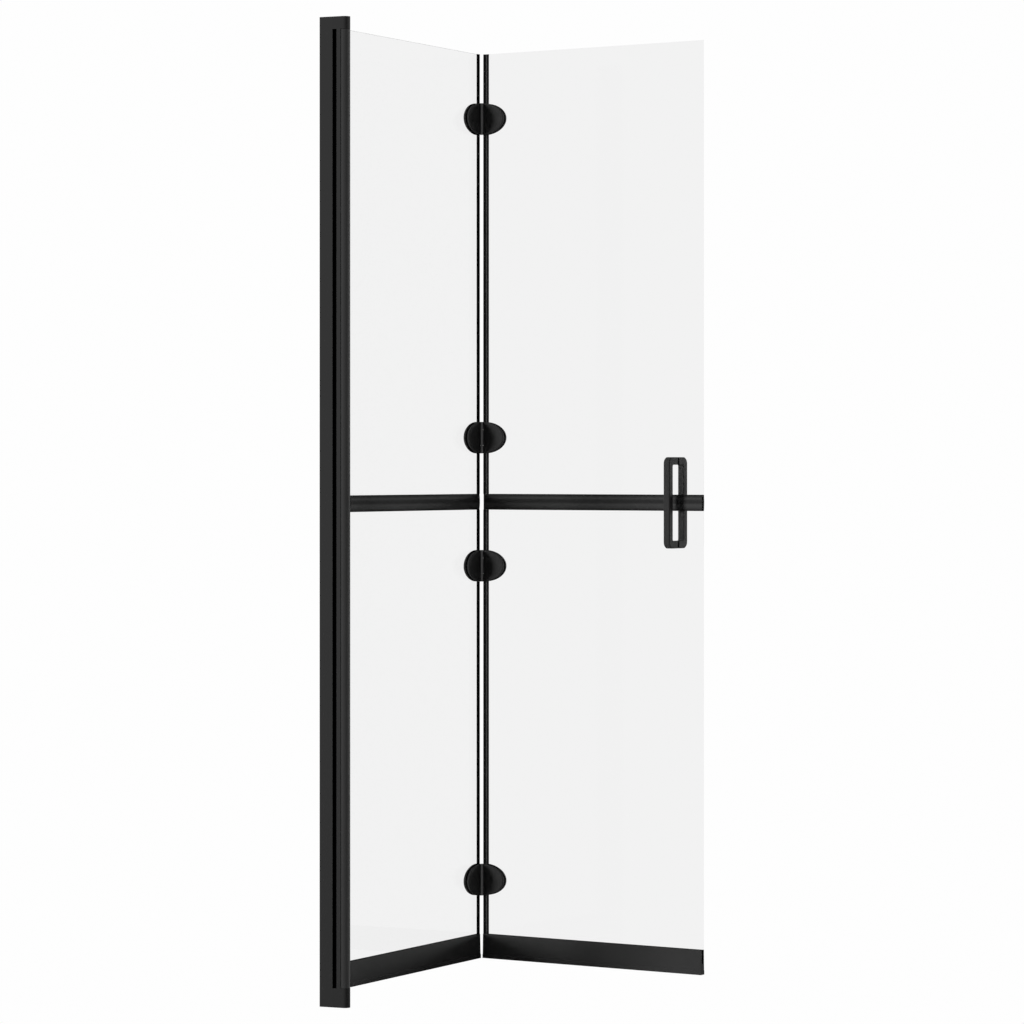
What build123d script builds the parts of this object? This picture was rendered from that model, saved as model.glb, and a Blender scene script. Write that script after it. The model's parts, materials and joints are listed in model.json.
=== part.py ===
from build123d import *
import os

# Folding shower screen: a wall profile, an inner glass panel that swings on it and an outer glass
# panel that folds back on four clamp hinges.
# World frame: X = 0 is the wall, Y = 0 the middle of the wall profile, Z = 0 its foot.
# The inner panel's frame starts on the wall pivot axis, the outer panel's beside the fold pin.
# In both, x runs along the panel, y = 0 is the middle of the glass, and -y is the inside of the fold.

# Wall profile
PROFILE_HEIGHT = 1900.0
PROFILE_THICKNESS = 20.0
PIVOT_DISTANCE = 49.3
WALL_CHANNEL_DEPTH = 27.3
CHANNEL_WALL = 1.8
CHANNEL_GAP = 6.7
TONGUE_THICKNESS = 7.0
TONGUE_WALL = 1.4
TONGUE_START = 7.0
WING_DEPTH = 5.0
LIP_SETBACK = 5.0
SOCKET_CLEARANCE = 0.3
SLIDE_CLEARANCE = 0.3
BOTTOM_BLOCK_HEIGHT = 37.0
TOP_BLOCK_HEIGHT = 24.0
BLOCK_TONGUE_START = 4.0
BLOCK_PLUG_DEPTH = 14.0

# Fixing holes in the wall profile
WALL_HOLE_COUNT = 4
WALL_HOLE_INSET = 110.0
WALL_HOLE_RADIUS = 2.75
LOCK_SCREW_COUNT = 3
LOCK_SCREW_INSET = 200.0
LOCK_SCREW_RADIUS = 1.75
LOCK_HEAD_RADIUS = 3.2
LOCK_HEAD_HEIGHT = 1.6
LOCK_SCREW_LENGTH = 5.5

# Wall pivot
PIVOT_RADIUS = 4.0
PIVOT_LENGTH = 14.0
PIVOT_DISC_RADIUS = 7.4
PIVOT_DISC_THICKNESS = 3.0
BUSH_WALL = 2.0
BUSH_FLANGE = 1.5
RUNNING_CLEARANCE = 0.05
SEAT_CLEARANCE = 0.05
RECESS_CLEARANCE = 0.4
BEARING_GAP = 0.1
HEAD_ROOM = 0.5
POST_END_GAP = 0.5
PORT_OFFSET = 5.6
PORT_SCREW_RADIUS = 1.2
PORT_SCREW_LENGTH = 16.0

# Panels
INNER_ANGLE = 83.7
OUTER_ANGLE = -8.7
INNER_REACH = 514.3
OUTER_REACH = 509.6
GLASS_THICKNESS = 5.0
GLASS_TOP_GAP = 0.9
GLASS_BOTTOM = 60.0
GLASS_GRIP = 14.7
GLASS_EDGE = 2.8
GLASS_EDGE_ROUND = 0.5
GLAZING = 1.1
PANEL_START = 11.0

# Bottom rails
RAIL_BOTTOM = 38.0
RAIL_HEIGHT = 48.8
RAIL_FOOT_WIDTH = 13.8
RAIL_FOOT_HEIGHT = 7.0
RAIL_WAIST_WIDTH = 12.0
RAIL_TOP_WIDTH = 10.2
RAIL_WALL = 1.5
RAIL_WEB = 2.0
RAIL_SHELF = 2.5
RAIL_CAP = 1.5
RAIL_FOLD_END = 1.3
RAIL_FREE_END = 1.6
SWEEP_CLEARANCE = 0.2
SWEEP_LIP = 1.4

# Middle bars
BAR_CENTRE = 965.6
BAR_HEIGHT = 32.0
BAR_THICKNESS = 3.5
BAR_EDGE_THICKNESS = 2.3
BAR_PAD = 0.5
BAR_FOLD_END = 4.8
BAR_FREE_END = 1.5
BAR_SCREW_COUNT = 2
BAR_SCREW_INSET = 60.0
BAR_SCREW_RADIUS = 2.0
BAR_SCREW_HEAD = 3.6
BAR_SCREW_BITE = 2.0
BAR_HOLE_RADIUS = 4.0

# Edge seals at the fold
SEAL_END = 1.5
SEAL_FRONT_LEG = 12.9
SEAL_BACK_LEG = 2.5
SEAL_THICKNESS = 1.0
SEAL_STEP = 0.9
SEAL_STEP_REACH = 6.0
SEAL_NOTCH_GAP = 1.0

# Clamp hinges
LOW_HINGE_RISE = 137.3
HIGH_HINGE_DROP = 131.6
HINGE_FROM_BAR = 130.2
HINGE_HEIGHT = 64.0
HINGE_REACH = 51.0
HINGE_PLATE = 4.0
HINGE_GASKET = 1.0
HINGE_EDGE_BEVEL = 1.2
CLAMP_START = 1.0
PIN_OFFSET = 7.8
PIN_RADIUS = 2.0
KNUCKLE_RADIUS = 4.0
KNUCKLE_GAP = 0.6
KNUCKLE_END_SHARE = 16.0
KNUCKLE_PLAY = 0.3
HINGE_SCREW_REACH = 22.0
HINGE_SCREW_SPACING = 30.0
HINGE_SCREW_RADIUS = 2.5
HINGE_SCREW_HEAD = 4.6
HINGE_SCREW_BITE = 2.6
HINGE_NOTCH_ROOM = 5.0
HINGE_NOTCH_ROUND = 4.0

# Pulls
PULL_FROM_EDGE = 62.6
PULL_HEIGHT = 180.0
PULL_WIDTH = 14.0
PULL_REACH = 36.7
PULL_GRIP = 14.5
PULL_LEG = 15.0
PULL_CORNER = 13.0
PULL_INNER_CORNER = 4.0
PULL_EDGE_BEVEL = 1.5
PULL_WASHER = 1.0
PULL_WASHER_RADIUS = 6.8
STUD_RADIUS = 3.0
STUD_BITE = 12.0
PULL_HOLE_RADIUS = 5.0

# Worked out from the sizes above
HALF_PROFILE = PROFILE_THICKNESS / 2
HALF_GLASS = GLASS_THICKNESS / 2
HALF_SLOT = HALF_GLASS + GLAZING
HEAD_START = WALL_CHANNEL_DEPTH + CHANNEL_GAP
BLOCK_TOP = PROFILE_HEIGHT - TOP_BLOCK_HEIGHT
POST_BOTTOM = BOTTOM_BLOCK_HEIGHT + POST_END_GAP
POST_TOP = BLOCK_TOP - POST_END_GAP
GLASS_TOP = BLOCK_TOP - GLASS_TOP_GAP
BUSH_RADIUS = PIVOT_RADIUS + RUNNING_CLEARANCE + BUSH_WALL
RECESS_RADIUS = PIVOT_DISC_RADIUS + RECESS_CLEARANCE
GLASS_START = HALF_PROFILE - GLASS_GRIP
RAIL_TOP = RAIL_BOTTOM + RAIL_HEIGHT
RAIL_FOOT_TOP = RAIL_BOTTOM + RAIL_FOOT_HEIGHT
RAIL_WAIST = RAIL_FOOT_TOP + RAIL_WEB
HALF_BAR = BAR_HEIGHT / 2
HINGE_FACE = HALF_GLASS + HINGE_GASKET + HINGE_PLATE
PLATE_START = KNUCKLE_RADIUS + KNUCKLE_GAP
NOTCH_REACH = HINGE_SCREW_REACH + HINGE_NOTCH_ROOM
NOTCH_HALF = HINGE_SCREW_SPACING / 2 + HINGE_NOTCH_ROOM
PULL_POSITION = OUTER_REACH - PULL_FROM_EDGE
PULL_HOLE_SPACING = PULL_HEIGHT - PULL_LEG


def block(x0, x1, y0, y1, z0, z1):
    """A box between two corners."""
    size = Box(x1 - x0, y1 - y0, z1 - z0)
    return Pos((x0 + x1) / 2, (y0 + y1) / 2, (z0 + z1) / 2) * size


def rod(radius, z0, z1, x=0.0, y=0.0):
    """An upright cylinder."""
    return Pos(x, y, (z0 + z1) / 2) * Cylinder(radius, z1 - z0)


def cross_rod(radius, y0, y1, x=0.0, z=0.0):
    """A cylinder through the thickness of a panel."""
    return Pos(x, (y0 + y1) / 2, z) * Rot(90, 0, 0) * Cylinder(radius, y1 - y0)


def cross_cone(radius0, radius1, y0, y1, x=0.0, z=0.0):
    """A cone through a panel, with radius0 at y0 and radius1 at y1."""
    return Pos(x, (y0 + y1) / 2, z) * Rot(-90, 0, 0) * Cone(radius0, radius1, y1 - y0)


def along_panel(sketch, x0, x1):
    """A section drawn in a panel's YZ plane, drawn along the panel from x0 to x1."""
    return Pos(x0, 0, 0) * extrude(sketch, x1 - x0)


def panel_section(points):
    """A closed straight-sided section in the YZ plane, from its corner points."""
    return Plane.YZ * make_face(Polyline(*points, close=True))


def inner_place():
    """The inner panel's frame in the world."""
    return Pos(PIVOT_DISTANCE, 0, 0) * Rot(0, 0, INNER_ANGLE)


def outer_place():
    """The outer panel's frame, turned about the fold pin that it shares with the inner panel."""
    pin = inner_place() * Pos(INNER_REACH, -PIN_OFFSET, 0)
    return Pos(pin.position.X, pin.position.Y, 0) * Rot(0, 0, OUTER_ANGLE) * Pos(0, PIN_OFFSET, 0)


def at_inner_fold(shape):
    """A piece drawn outward from the pin, turned round to the inner panel's fold edge."""
    return Pos(INNER_REACH, 0, 0) * mirror(shape, about=Plane.YZ)


def spaced(first, last, count):
    """Even places from the first to the last."""
    return [first + (last - first) * i / (count - 1) for i in range(count)]


# Wall profile pieces

def wall_hole_heights():
    return spaced(WALL_HOLE_INSET, PROFILE_HEIGHT - WALL_HOLE_INSET, WALL_HOLE_COUNT)


def lock_screw_heights():
    return spaced(LOCK_SCREW_INSET, PROFILE_HEIGHT - LOCK_SCREW_INSET, LOCK_SCREW_COUNT)


def lock_screw_x():
    return TONGUE_START + WING_DEPTH / 2


def make_wall_channel():
    channel = block(0, WALL_CHANNEL_DEPTH, -HALF_PROFILE, HALF_PROFILE, 0, PROFILE_HEIGHT)
    inside = HALF_PROFILE - CHANNEL_WALL
    channel -= block(CHANNEL_WALL, WALL_CHANNEL_DEPTH, -inside, inside, 0, PROFILE_HEIGHT)
    for z in wall_hole_heights():
        hole = Pos(CHANNEL_WALL / 2, 0, z) * Rot(0, 90, 0) * Cylinder(WALL_HOLE_RADIUS, 2 * CHANNEL_WALL)
        channel -= hole
    for z in lock_screw_heights():
        radius = LOCK_SCREW_RADIUS + SEAT_CLEARANCE
        channel -= cross_rod(radius, inside, HALF_PROFILE, lock_screw_x(), z)
    return channel


def make_pivot_channel():
    """The sliding profile: a hollow tongue with guide wings, and a head with the post's socket."""
    half_tongue = TONGUE_THICKNESS / 2
    half_wing = HALF_PROFILE - CHANNEL_WALL - SLIDE_CLEARANCE
    z0 = BOTTOM_BLOCK_HEIGHT
    z1 = BLOCK_TOP
    lip_end = PIVOT_DISTANCE - LIP_SETBACK
    channel = block(TONGUE_START, HEAD_START, -half_tongue, half_tongue, z0, z1)
    channel += block(TONGUE_START, TONGUE_START + WING_DEPTH, -half_wing, half_wing, z0, z1)
    channel += block(HEAD_START, lip_end, -HALF_PROFILE, HALF_PROFILE, z0, z1)
    hollow = half_tongue - TONGUE_WALL
    channel -= block(TONGUE_START + TONGUE_WALL, HEAD_START, -hollow, hollow, z0, z1)
    channel -= rod(HALF_PROFILE + SOCKET_CLEARANCE, z0, z1, PIVOT_DISTANCE)
    for z in lock_screw_heights():
        radius = LOCK_SCREW_RADIUS + SEAT_CLEARANCE
        channel -= cross_rod(radius, half_tongue - TONGUE_WALL, half_wing, lock_screw_x(), z)
    return channel


def make_lock_screws():
    screws = []
    for z in lock_screw_heights():
        tip = HALF_PROFILE - LOCK_SCREW_LENGTH
        shank = cross_rod(LOCK_SCREW_RADIUS, tip, HALF_PROFILE, lock_screw_x(), z)
        head_end = HALF_PROFILE + LOCK_HEAD_HEIGHT
        head = cross_rod(LOCK_HEAD_RADIUS, HALF_PROFILE, head_end, lock_screw_x(), z)
        screws.append(shank + head)
    return screws


def block_body(z0, z1):
    """A round-nosed end block with a tongue that closes the end of the wall channel."""
    half_tongue = HALF_PROFILE - CHANNEL_WALL - SLIDE_CLEARANCE
    body = block(WALL_CHANNEL_DEPTH, PIVOT_DISTANCE, -HALF_PROFILE, HALF_PROFILE, z0, z1)
    body += rod(HALF_PROFILE, z0, z1, PIVOT_DISTANCE)
    body += block(BLOCK_TONGUE_START, WALL_CHANNEL_DEPTH, -half_tongue, half_tongue, z0, z1)
    return body


def block_plug(z0, z1):
    """The plug that holds a block in the hollow of the pivot channel's tongue."""
    half = TONGUE_THICKNESS / 2 - TONGUE_WALL - SEAT_CLEARANCE
    x0 = TONGUE_START + TONGUE_WALL + SEAT_CLEARANCE
    return block(x0, HEAD_START - SEAT_CLEARANCE, -half, half, z0, z1)


def make_top_block():
    body = block_body(BLOCK_TOP, PROFILE_HEIGHT)
    body += block_plug(BLOCK_TOP - BLOCK_PLUG_DEPTH, BLOCK_TOP)
    recess_top = POST_TOP + PIVOT_DISC_THICKNESS + HEAD_ROOM + BUSH_FLANGE
    body -= rod(RECESS_RADIUS, BLOCK_TOP, recess_top, PIVOT_DISTANCE)
    bore_top = POST_TOP + PIVOT_DISC_THICKNESS + PIVOT_LENGTH + HEAD_ROOM
    body -= rod(BUSH_RADIUS + SEAT_CLEARANCE, recess_top, bore_top, PIVOT_DISTANCE)
    return body


def make_bottom_block():
    body = block_body(0, BOTTOM_BLOCK_HEIGHT)
    body += block_plug(BOTTOM_BLOCK_HEIGHT, BOTTOM_BLOCK_HEIGHT + BLOCK_PLUG_DEPTH)
    recess_floor = POST_BOTTOM - PIVOT_DISC_THICKNESS - BEARING_GAP - BUSH_FLANGE
    body -= rod(RECESS_RADIUS, recess_floor, BOTTOM_BLOCK_HEIGHT, PIVOT_DISTANCE)
    bore_floor = POST_BOTTOM - PIVOT_DISC_THICKNESS - PIVOT_LENGTH - HEAD_ROOM
    body -= rod(BUSH_RADIUS + SEAT_CLEARANCE, bore_floor, recess_floor, PIVOT_DISTANCE)
    return body


def make_pivot_bushes():
    """Two flanged bushes: the lower one carries the panel on its flange."""
    bore = PIVOT_RADIUS + RUNNING_CLEARANCE
    flange = RECESS_RADIUS - SEAT_CLEARANCE
    low_face = POST_BOTTOM - PIVOT_DISC_THICKNESS - BEARING_GAP
    high_face = POST_TOP + PIVOT_DISC_THICKNESS + HEAD_ROOM
    low = rod(flange, low_face - BUSH_FLANGE, low_face, PIVOT_DISTANCE)
    low += rod(BUSH_RADIUS, low_face - PIVOT_LENGTH, low_face, PIVOT_DISTANCE)
    low -= rod(bore, low_face - PIVOT_LENGTH, low_face, PIVOT_DISTANCE)
    high = rod(flange, high_face, high_face + BUSH_FLANGE, PIVOT_DISTANCE)
    high += rod(BUSH_RADIUS, high_face, high_face + PIVOT_LENGTH - HEAD_ROOM, PIVOT_DISTANCE)
    high -= rod(bore, high_face, high_face + PIVOT_LENGTH - HEAD_ROOM, PIVOT_DISTANCE)
    return [low, high]


# Pivot post and its caps, in the inner panel's frame

def port_places():
    return (-PORT_OFFSET, PORT_OFFSET)


def make_pivot_post():
    post = rod(HALF_PROFILE, POST_BOTTOM, POST_TOP)
    post -= block(GLASS_START - GLAZING, PANEL_START, -HALF_SLOT, HALF_SLOT, POST_BOTTOM, POST_TOP)
    for y in port_places():
        radius = PORT_SCREW_RADIUS + SEAT_CLEARANCE
        post -= rod(radius, POST_BOTTOM, POST_TOP, 0, y)
    return post


def make_post_gasket():
    """The glazing strip between the glass and the post's slot."""
    strip = block(GLASS_START - GLAZING, HALF_PROFILE, -HALF_SLOT, HALF_SLOT, GLASS_BOTTOM, GLASS_TOP)
    strip -= block(GLASS_START, HALF_PROFILE, -HALF_GLASS, HALF_GLASS, GLASS_BOTTOM, GLASS_TOP)
    return strip


def make_pivot_cap():
    """A cap with its stub shaft, drawn with the face on the post's end at z = 0, shaft up."""
    cap = rod(PIVOT_DISC_RADIUS, 0, PIVOT_DISC_THICKNESS)
    cap += rod(PIVOT_RADIUS, 0, PIVOT_DISC_THICKNESS + PIVOT_LENGTH - HEAD_ROOM)
    cap = chamfer(cap.edges().group_by(Axis.Z)[-1], HEAD_ROOM)
    for y in port_places():
        cap -= rod(PORT_SCREW_RADIUS + SEAT_CLEARANCE, 0, PIVOT_DISC_THICKNESS, 0, y)
    return cap


def make_port_screw(y):
    """A headless screw through the cap into the post's port, drawn as the cap is."""
    return rod(PORT_SCREW_RADIUS, PIVOT_DISC_THICKNESS - PORT_SCREW_LENGTH, PIVOT_DISC_THICKNESS, 0, y)


def at_post_top(shape):
    return Pos(0, 0, POST_TOP) * shape


def at_post_bottom(shape):
    return Pos(0, 0, POST_BOTTOM) * mirror(shape, about=Plane.XY)


def make_port_screws():
    screws = []
    for y in port_places():
        screws.append(at_post_top(make_port_screw(y)))
        screws.append(at_post_bottom(make_port_screw(y)))
    return screws


# Panels: glass, rails, bars and seals, in each panel's own frame

def fold_side(x):
    """A distance from the fold pin, as a place along the inner panel."""
    return INNER_REACH - x


def bar_screw_places(x0, x1):
    return spaced(x0 + BAR_SCREW_INSET, x1 - BAR_SCREW_INSET, BAR_SCREW_COUNT)


def hinge_centres():
    """One hinge near each end of the glass, and one on each side of the bars."""
    low = GLASS_BOTTOM + LOW_HINGE_RISE
    high = GLASS_TOP - HIGH_HINGE_DROP
    return (low, BAR_CENTRE - HINGE_FROM_BAR, BAR_CENTRE + HINGE_FROM_BAR, high)


def pull_hole_heights():
    half = PULL_HOLE_SPACING / 2
    return (BAR_CENTRE - half, BAR_CENTRE + half)


def make_glass(glass_ends, hinge_notches, bar_places, pull_x=None):
    """A pane with eased edges, its cut-outs for the hinges and its holes for bars and pulls."""
    pane = block(*glass_ends, -HALF_GLASS, HALF_GLASS, GLASS_BOTTOM, GLASS_TOP)
    faces = pane.faces().sort_by(Axis.Y)
    pane = chamfer(faces[0].edges() + faces[-1].edges(), GLASS_EDGE_ROUND)
    for notch in hinge_notches:
        pane -= notch
    for x in bar_places:
        pane -= cross_rod(BAR_HOLE_RADIUS, -HALF_GLASS, HALF_GLASS, x, BAR_CENTRE)
    if pull_x is not None:
        for z in pull_hole_heights():
            pane -= cross_rod(PULL_HOLE_RADIUS, -HALF_GLASS, HALF_GLASS, pull_x, z)
    return pane


def rail_half_width(z):
    """Half the rail's outside width at a height above its waist."""
    share = (z - RAIL_WAIST) / (RAIL_TOP - RAIL_WAIST)
    return (RAIL_WAIST_WIDTH + (RAIL_TOP_WIDTH - RAIL_WAIST_WIDTH) * share) / 2


def mirrored_section(right_side):
    """A section in the YZ plane from the points of its right side, from the foot up."""
    left_side = [(-y, z) for y, z in reversed(right_side)]
    return panel_section(right_side + left_side)


def rail_outline():
    """An upright foot, a sloped lip above it, and a body that narrows towards the glass."""
    foot = RAIL_FOOT_WIDTH / 2
    lower = [(foot, RAIL_BOTTOM), (foot, RAIL_FOOT_TOP)]
    upper = [(RAIL_WAIST_WIDTH / 2, RAIL_WAIST), (RAIL_TOP_WIDTH / 2, RAIL_TOP)]
    return mirrored_section(lower + upper)


def make_rail(x0, x1):
    """An extrusion with a slot for the glass, a shelf below it, a hollow, and a groove in its foot."""
    shelf_top = GLASS_BOTTOM - GLAZING
    hollow_top = shelf_top - RAIL_SHELF
    rail = along_panel(rail_outline(), x0, x1)
    rail -= block(x0, x1, -HALF_SLOT, HALF_SLOT, shelf_top, RAIL_TOP)
    hollow = [(rail_half_width(z) - RAIL_WALL, z) for z in (RAIL_WAIST, hollow_top)]
    rail -= along_panel(mirrored_section(hollow), x0, x1)
    groove = RAIL_FOOT_WIDTH / 2 - RAIL_WALL
    rail -= block(x0, x1, -groove, groove, RAIL_BOTTOM, RAIL_FOOT_TOP)
    return rail


def make_rail_gasket(x0, x1):
    """The glazing channel that the glass stands in."""
    foot = GLASS_BOTTOM - GLAZING
    strip = block(x0, x1, -HALF_SLOT, HALF_SLOT, foot, RAIL_TOP)
    strip -= block(x0, x1, -HALF_GLASS, HALF_GLASS, GLASS_BOTTOM, RAIL_TOP)
    return strip


def make_sweep(x0, x1):
    """The wiper strip in the rail's groove: a base with two lips that end at the rail's foot."""
    half = RAIL_FOOT_WIDTH / 2 - RAIL_WALL - SWEEP_CLEARANCE
    base = RAIL_FOOT_TOP - SWEEP_LIP
    strip = block(x0, x1, -half, half, base, RAIL_FOOT_TOP)
    for side in (-1, 1):
        foot = [(side * half, RAIL_BOTTOM), (side * (half - SWEEP_LIP), RAIL_BOTTOM)]
        root = [(side * (half - 2 * SWEEP_LIP), base), (side * half, base)]
        strip += along_panel(panel_section(foot + root), x0, x1)
    return strip


def make_rail_caps(rail_ends, glass_ends):
    """The plates on a rail's two ends, slotted where the glass passes through."""
    x0, x1 = rail_ends
    slot = block(*glass_ends, -HALF_SLOT, HALF_SLOT, GLASS_BOTTOM - GLAZING, RAIL_TOP)
    low_end = along_panel(rail_outline(), x0, x0 + RAIL_CAP) - slot
    high_end = along_panel(rail_outline(), x1 - RAIL_CAP, x1) - slot
    return [low_end, high_end]


def bar_section():
    """A flat bar with a crowned face, drawn on the inside of the fold."""
    back = -(HALF_GLASS + BAR_PAD)
    edge = back - BAR_EDGE_THICKNESS
    crown = back - BAR_THICKNESS
    low = BAR_CENTRE - HALF_BAR
    high = BAR_CENTRE + HALF_BAR
    sides = Polyline((edge, low), (back, low), (back, high), (edge, high))
    face = ThreePointArc((edge, high), (crown, BAR_CENTRE), (edge, low))
    return Plane.YZ * make_face([sides, face])


def make_front_bar(x0, x1):
    bar = along_panel(bar_section(), x0, x1)
    back = -(HALF_GLASS + BAR_PAD)
    for x in bar_screw_places(x0, x1):
        radius = BAR_SCREW_RADIUS + SEAT_CLEARANCE
        bar -= cross_rod(radius, back - BAR_SCREW_BITE, back, x, BAR_CENTRE)
    return bar


def make_rear_bar(x0, x1):
    bar = mirror(along_panel(bar_section(), x0, x1), about=Plane.XZ)
    back = HALF_GLASS + BAR_PAD
    face = back + BAR_THICKNESS
    countersink = BAR_SCREW_HEAD - BAR_SCREW_RADIUS
    for x in bar_screw_places(x0, x1):
        radius = BAR_SCREW_RADIUS + SEAT_CLEARANCE
        head = BAR_SCREW_HEAD + SEAT_CLEARANCE
        bar -= cross_rod(radius, back, face, x, BAR_CENTRE)
        bar -= cross_cone(radius, head, face - countersink, face, x, BAR_CENTRE)
    return bar


def make_bar_screws(x0, x1):
    back = HALF_GLASS + BAR_PAD
    face = back + BAR_THICKNESS
    countersink = BAR_SCREW_HEAD - BAR_SCREW_RADIUS
    screws = []
    for x in bar_screw_places(x0, x1):
        shank = cross_rod(BAR_SCREW_RADIUS, -back - BAR_SCREW_BITE, face - countersink, x, BAR_CENTRE)
        head = cross_cone(BAR_SCREW_RADIUS, BAR_SCREW_HEAD, face - countersink, face, x, BAR_CENTRE)
        screws.append(shank + head)
    return screws


def make_bar_pads(x0, x1):
    """The strips between the bars and the glass, which stop short of each screw."""
    low = BAR_CENTRE - HALF_BAR
    high = BAR_CENTRE + HALF_BAR
    screws = bar_screw_places(x0, x1)
    starts = [x0] + [x + BAR_HOLE_RADIUS for x in screws]
    ends = [x - BAR_HOLE_RADIUS for x in screws] + [x1]
    pads = []
    for start, end in zip(starts, ends):
        pads.append(block(start, end, -HALF_GLASS - BAR_PAD, -HALF_GLASS, low, high))
        pads.append(block(start, end, HALF_GLASS, HALF_GLASS + BAR_PAD, low, high))
    return pads


def seal_section():
    """A channel over the glass edge in plan, with a stepped front leg and a short back leg."""
    back = HALF_GLASS + SEAL_THICKNESS
    front = -back - SEAL_STEP
    step_end = SEAL_END + SEAL_STEP_REACH
    front_end = SEAL_END + SEAL_FRONT_LEG
    back_end = SEAL_END + SEAL_BACK_LEG
    outside = [(back_end, back), (SEAL_END, back), (SEAL_END, front), (step_end, front)]
    front_leg = [(step_end + SEAL_STEP, -back), (front_end, -back), (front_end, -HALF_GLASS)]
    inside = [(GLASS_EDGE, -HALF_GLASS), (GLASS_EDGE, HALF_GLASS), (back_end, HALF_GLASS)]
    return make_face(Polyline(*outside, *front_leg, *inside, close=True))


def make_edge_seal():
    """The seal on a pane's fold edge, from the pin outward, notched at hinges and bars."""
    z0 = RAIL_TOP
    z1 = GLASS_TOP
    seal = Pos(0, 0, z0) * extrude(seal_section(), z1 - z0)
    flat = HALF_GLASS + SEAL_THICKNESS
    front = flat + SEAL_STEP
    far = SEAL_END + SEAL_FRONT_LEG
    half = HINGE_HEIGHT / 2 + SEAL_NOTCH_GAP
    for centre in hinge_centres():
        seal -= block(SEAL_END, far, -front, -flat, centre - half, centre + half)
        seal -= block(GLASS_EDGE, far, -flat, flat, centre - half, centre + half)
    seal -= block(GLASS_EDGE, far, -front, flat, BAR_CENTRE - HALF_BAR, BAR_CENTRE + HALF_BAR)
    return seal


# Clamp hinges, drawn from the pin outward with the hinge's middle at z = 0

def hinge_plate(start, y0, y1):
    """A plate of half an oval, cut off straight at its start, between two depths."""
    oval = Ellipse(HINGE_REACH, HINGE_HEIGHT / 2)
    keep = Pos(start + HINGE_REACH / 2, 0) * Rectangle(HINGE_REACH, HINGE_HEIGHT)
    return Pos(0, y1, 0) * extrude(Plane.XZ * (oval & keep), y1 - y0)


def bevelled_plate(start, y0, y1, side):
    """A plate whose oval edge is bevelled on its outer face, at side -1 or 1 of the glass."""
    plate = hinge_plate(start, y0, y1)
    face = plate.faces().sort_by(Axis.Y)[0 if side < 0 else -1]
    oval_edges = [edge for group in face.edges().group_by(Axis.X)[1:] for edge in group]
    return chamfer(oval_edges, HINGE_EDGE_BEVEL)


def glass_notch():
    """The round-cornered cut-out in a glass edge that a hinge half's screws pass through."""
    notch = Pos(NOTCH_REACH / 2, 0) * Rectangle(NOTCH_REACH, 2 * NOTCH_HALF)
    notch = fillet(notch.vertices().group_by(Axis.X)[-1], HINGE_NOTCH_ROUND)
    return extrude(Plane.XZ * notch, HALF_GLASS, both=True)


def knuckle_spans(outer):
    """The stretches of height that a leaf's knuckles fill: two ends, or the middle."""
    half = HINGE_HEIGHT / 2
    end = half - KNUCKLE_END_SHARE
    if outer:
        return [(-end + KNUCKLE_PLAY, end - KNUCKLE_PLAY)]
    return [(-half, -end), (end, half)]


def make_leaf(outer):
    """A hinge leaf: the half-oval plate on the inside of the fold, and its knuckles."""
    back = -(HALF_GLASS + HINGE_GASKET)
    leaf = bevelled_plate(PLATE_START, -HINGE_FACE, back, -1)
    for z0, z1 in knuckle_spans(outer):
        leaf += rod(KNUCKLE_RADIUS, z0, z1, 0, -PIN_OFFSET)
        web_back = -PIN_OFFSET + KNUCKLE_RADIUS - KNUCKLE_GAP
        leaf += block(0, PLATE_START + KNUCKLE_GAP, -HINGE_FACE, web_back, z0, z1)
        leaf -= rod(PIN_RADIUS + RUNNING_CLEARANCE, z0, z1, 0, -PIN_OFFSET)
    for side in (-1, 1):
        z = side * HINGE_SCREW_SPACING / 2
        radius = HINGE_SCREW_RADIUS + SEAT_CLEARANCE
        leaf -= cross_rod(radius, back - HINGE_SCREW_BITE, back, HINGE_SCREW_REACH, z)
    return leaf


def make_clamp():
    """The plate on the outside of the fold, countersunk for its screws."""
    inside = HALF_GLASS + HINGE_GASKET
    clamp = bevelled_plate(CLAMP_START, inside, HINGE_FACE, 1)
    sink = HINGE_SCREW_HEAD - HINGE_SCREW_RADIUS
    for side in (-1, 1):
        z = side * HINGE_SCREW_SPACING / 2
        radius = HINGE_SCREW_RADIUS + SEAT_CLEARANCE
        head = HINGE_SCREW_HEAD + SEAT_CLEARANCE
        clamp -= cross_rod(radius, inside, HINGE_FACE, HINGE_SCREW_REACH, z)
        clamp -= cross_cone(radius, head, HINGE_FACE - sink, HINGE_FACE, HINGE_SCREW_REACH, z)
    return clamp


def make_hinge_gaskets():
    """One hinge half's two gaskets, open where the glass is cut out."""
    gaskets = []
    for y0, y1 in ((-HALF_GLASS - HINGE_GASKET, -HALF_GLASS), (HALF_GLASS, HALF_GLASS + HINGE_GASKET)):
        notch = block(0, NOTCH_REACH, y0, y1, -NOTCH_HALF, NOTCH_HALF)
        gaskets.append(hinge_plate(PLATE_START, y0, y1) - notch)
    return gaskets


def make_hinge_screws():
    """One hinge half's two screws, from the clamp into the leaf."""
    sink = HINGE_SCREW_HEAD - HINGE_SCREW_RADIUS
    tip = -(HALF_GLASS + HINGE_GASKET) - HINGE_SCREW_BITE
    screws = []
    for side in (-1, 1):
        z = side * HINGE_SCREW_SPACING / 2
        shank = cross_rod(HINGE_SCREW_RADIUS, tip, HINGE_FACE - sink, HINGE_SCREW_REACH, z)
        head = cross_cone(HINGE_SCREW_RADIUS, HINGE_SCREW_HEAD, HINGE_FACE - sink, HINGE_FACE,
                          HINGE_SCREW_REACH, z)
        screws.append(shank + head)
    return screws


def make_hinge_pin():
    half = HINGE_HEIGHT / 2
    return rod(PIN_RADIUS, -half, half, 0, -PIN_OFFSET)


# Pulls, in the outer panel's frame

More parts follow.
